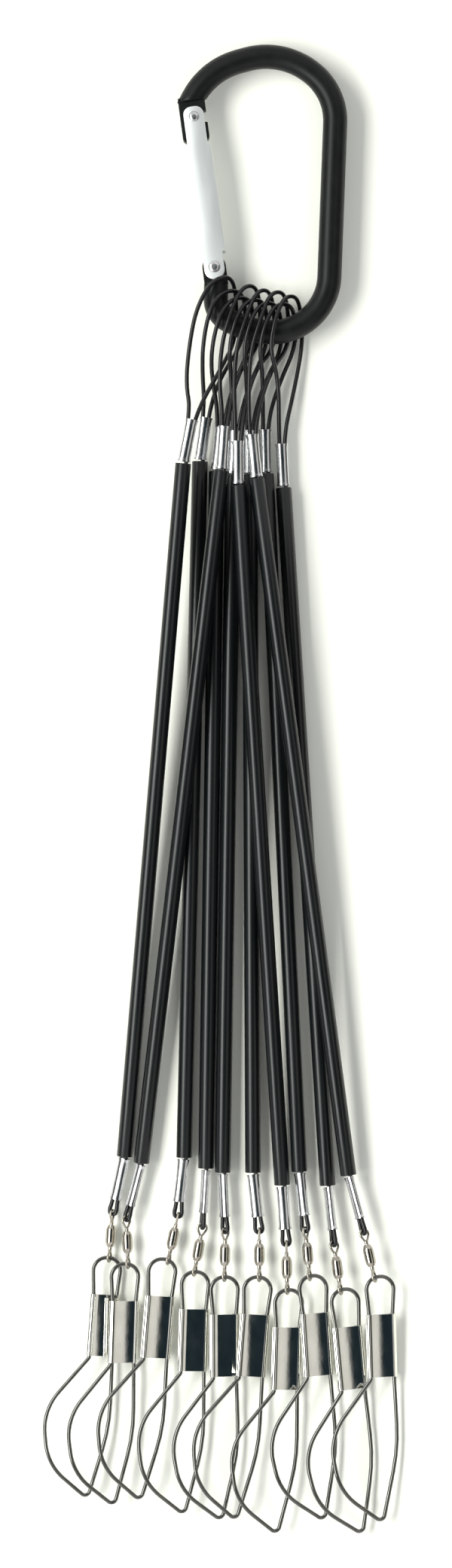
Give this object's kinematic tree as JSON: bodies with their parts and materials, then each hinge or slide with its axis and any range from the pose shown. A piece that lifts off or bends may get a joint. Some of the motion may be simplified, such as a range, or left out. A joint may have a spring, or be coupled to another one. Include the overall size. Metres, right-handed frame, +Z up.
{
  "type": "fish stringer",
  "caption": "Fish stringer: a black carabiner with a sprung gate carries cord droppers in black tubes, each ending in a barrel swivel and a wire snap with a folded clasp.",
  "frame": {"origin": "hang point: where a rope or hook bears inside the carabiner's top bow", "axes": "+Z up along the hanging stringer, +X towards the carabiner's spine, -Y to the front, as pictured"},
  "size_m": [0.1169, 0.0336, 0.489],
  "materials": {
    "anodised_bar": "black anodised, satin",
    "gate_aluminium": "tumbled, satin",
    "rivet_steel": "plated",
    "spring_steel": "drawn wire",
    "cord_coat": "black coating, satin",
    "tube_plastic": "extruded, satin",
    "crimp_aluminium": "bright, crimped",
    "swivel_nickel": "nickel plated",
    "snap_steel": "polished stainless"
  },
  "bodies": {
    "carabiner": {"carabiner_body": "anodised_bar", "gate_hinge_rivet": "rivet_steel"},
    "gate": {"carabiner_gate": "gate_aluminium", "gate_latch_pin": "rivet_steel", "gate_spring": "spring_steel", "spring_plunger": "rivet_steel"},
    "dropper_01": {"cord_01": "cord_coat", "tube_01": "tube_plastic", "sleeves_01": "crimp_aluminium", "swivel_01": "swivel_nickel"},
    "snap_01": {"snap_01": "snap_steel"},
    "dropper_02": {"cord_02": "cord_coat", "tube_02": "tube_plastic", "sleeves_02": "crimp_aluminium", "swivel_02": "swivel_nickel"},
    "snap_02": {"snap_02": "snap_steel"},
    "dropper_03": {"cord_03": "cord_coat", "tube_03": "tube_plastic", "sleeves_03": "crimp_aluminium", "swivel_03": "swivel_nickel"},
    "snap_03": {"snap_03": "snap_steel"},
    "dropper_04": {"cord_04": "cord_coat", "tube_04": "tube_plastic", "sleeves_04": "crimp_aluminium", "swivel_04": "swivel_nickel"},
    "snap_04": {"snap_04": "snap_steel"},
    "dropper_05": {"cord_05": "cord_coat", "tube_05": "tube_plastic", "sleeves_05": "crimp_aluminium", "swivel_05": "swivel_nickel"},
    "snap_05": {"snap_05": "snap_steel"},
    "dropper_06": {"cord_06": "cord_coat", "tube_06": "tube_plastic", "sleeves_06": "crimp_aluminium", "swivel_06": "swivel_nickel"},
    "snap_06": {"snap_06": "snap_steel"},
    "dropper_07": {"cord_07": "cord_coat", "tube_07": "tube_plastic", "sleeves_07": "crimp_aluminium", "swivel_07": "swivel_nickel"},
    "snap_07": {"snap_07": "snap_steel"},
    "dropper_08": {"cord_08": "cord_coat", "tube_08": "tube_plastic", "sleeves_08": "crimp_aluminium", "swivel_08": "swivel_nickel"},
    "snap_08": {"snap_08": "snap_steel"},
    "dropper_09": {"cord_09": "cord_coat", "tube_09": "tube_plastic", "sleeves_09": "crimp_aluminium", "swivel_09": "swivel_nickel"},
    "snap_09": {"snap_09": "snap_steel"},
    "dropper_10": {"cord_10": "cord_coat", "tube_10": "tube_plastic", "sleeves_10": "crimp_aluminium", "swivel_10": "swivel_nickel"},
    "snap_10": {"snap_10": "snap_steel"}
  },
  "joints": [
    {"name": "gate_hinge", "type": "hinge", "parent": "carabiner", "child": "gate", "pos_m": [-0.0193, 0, -0.0654], "axis": [0, 1, 0], "range_deg": [0, 28], "stiffness_Nm_per_rad": 0.5, "springref_deg": -22.92},
    {"name": "swing_10", "type": "hinge", "parent": "carabiner", "child": "dropper_10", "pos_m": [0, 0, -0.0866], "axis": [-1, 0, 0], "range_deg": [0, 45], "deforming": ["cord_10"]},
    {"name": "swing_09", "type": "hinge", "parent": "carabiner", "child": "dropper_09", "pos_m": [0, 0, -0.0866], "axis": [-1, 0, 0], "range_deg": [0, 41.4], "deforming": ["cord_09"]},
    {"name": "swing_08", "type": "hinge", "parent": "carabiner", "child": "dropper_08", "pos_m": [0, 0, -0.0866], "axis": [-1, 0, 0], "range_deg": [0, 38.25], "deforming": ["cord_08"]},
    {"name": "swing_07", "type": "hinge", "parent": "carabiner", "child": "dropper_07", "pos_m": [0, 0, -0.0866], "axis": [-1, 0, 0], "range_deg": [0, 35.1], "deforming": ["cord_07"]},
    {"name": "swing_06", "type": "hinge", "parent": "carabiner", "child": "dropper_06", "pos_m": [0, 0, -0.0866], "axis": [-1, 0, 0], "range_deg": [0, 31.5], "deforming": ["cord_06"]},
    {"name": "swing_05", "type": "hinge", "parent": "carabiner", "child": "dropper_05", "pos_m": [0, 0, -0.0866], "axis": [-1, 0, 0], "range_deg": [0, 29.25], "deforming": ["cord_05"]},
    {"name": "swing_04", "type": "hinge", "parent": "carabiner", "child": "dropper_04", "pos_m": [0, 0, -0.0866], "axis": [-1, 0, 0], "range_deg": [0, 27.45], "deforming": ["cord_04"]},
    {"name": "swing_03", "type": "hinge", "parent": "carabiner", "child": "dropper_03", "pos_m": [0, 0, -0.0866], "axis": [-1, 0, 0], "range_deg": [0, 27], "deforming": ["cord_03"]},
    {"name": "swing_02", "type": "hinge", "parent": "carabiner", "child": "dropper_02", "pos_m": [0, 0, -0.0866], "axis": [-1, 0, 0], "range_deg": [0, 27], "deforming": ["cord_02"]},
    {"name": "swing_01", "type": "hinge", "parent": "carabiner", "child": "dropper_01", "pos_m": [0, 0, -0.0866], "axis": [-1, 0, 0], "range_deg": [0, 22.5], "deforming": ["cord_01"]},
    {"name": "spin_01", "type": "hinge", "parent": "dropper_01", "child": "snap_01", "pos_m": [-0.05411, 0.01098, -0.39273], "axis": [0.0696, -0.0587, 0.9958], "range_deg": [0, 24]},
    {"name": "spin_02", "type": "hinge", "parent": "dropper_02", "child": "snap_02", "pos_m": [-0.04781, 0.00749, -0.39447], "axis": [-0.0349, -0.0441, 0.9984], "range_deg": [0, 20]},
    {"name": "spin_03", "type": "hinge", "parent": "dropper_03", "child": "snap_03", "pos_m": [-0.03442, 0.004, -0.39284], "axis": [0.2079, 0.0147, 0.978], "range_deg": [0, 18]},
    {"name": "spin_04", "type": "hinge", "parent": "dropper_04", "child": "snap_04", "pos_m": [-0.02574, 0.00099, -0.39635], "axis": [0.1736, 0.0294, 0.9844], "range_deg": [0, 60]},
    {"name": "spin_05", "type": "hinge", "parent": "dropper_05", "child": "snap_05", "pos_m": [-0.01589, -0.00202, -0.39772], "axis": [0.0174, 0.0587, 0.9981], "range_deg": [0, 60]},
    {"name": "spin_06", "type": "hinge", "parent": "dropper_06", "child": "snap_06", "pos_m": [-0.00447, -0.00502, -0.39745], "axis": [0, 0.0879, 0.9961], "range_deg": [0, 24]},
    {"name": "spin_07", "type": "hinge", "parent": "dropper_07", "child": "snap_07", "pos_m": [0.00466, -0.00802, -0.40131], "axis": [-0.0174, 0.0879, 0.996], "range_deg": [0, 60]},
    {"name": "spin_08", "type": "hinge", "parent": "dropper_08", "child": "snap_08", "pos_m": [0.01192, -0.01148, -0.39642], "axis": [-0.086, 0.1597, 0.9834], "range_deg": [0, 50]},
    {"name": "spin_09", "type": "hinge", "parent": "dropper_09", "child": "snap_09", "pos_m": [0.02194, -0.01396, -0.40067], "axis": [-0.1371, 0.1738, 0.9752], "range_deg": [0, 45]},
    {"name": "spin_10", "type": "hinge", "parent": "dropper_10", "child": "snap_10", "pos_m": [0.03292, -0.017, -0.39633], "axis": [-0.2226, 0.1455, 0.964], "range_deg": [0, 80]}
  ],
  "couplings": [
    {"joint": "swing_09", "follows": "swing_10", "ratio": 0.92},
    {"joint": "swing_08", "follows": "swing_10", "ratio": 0.85},
    {"joint": "swing_07", "follows": "swing_10", "ratio": 0.78},
    {"joint": "swing_06", "follows": "swing_10", "ratio": 0.7},
    {"joint": "swing_05", "follows": "swing_10", "ratio": 0.65},
    {"joint": "swing_04", "follows": "swing_10", "ratio": 0.61},
    {"joint": "swing_03", "follows": "swing_10", "ratio": 0.6},
    {"joint": "swing_02", "follows": "swing_10", "ratio": 0.6},
    {"joint": "swing_01", "follows": "swing_10", "ratio": 0.5}
  ]
}
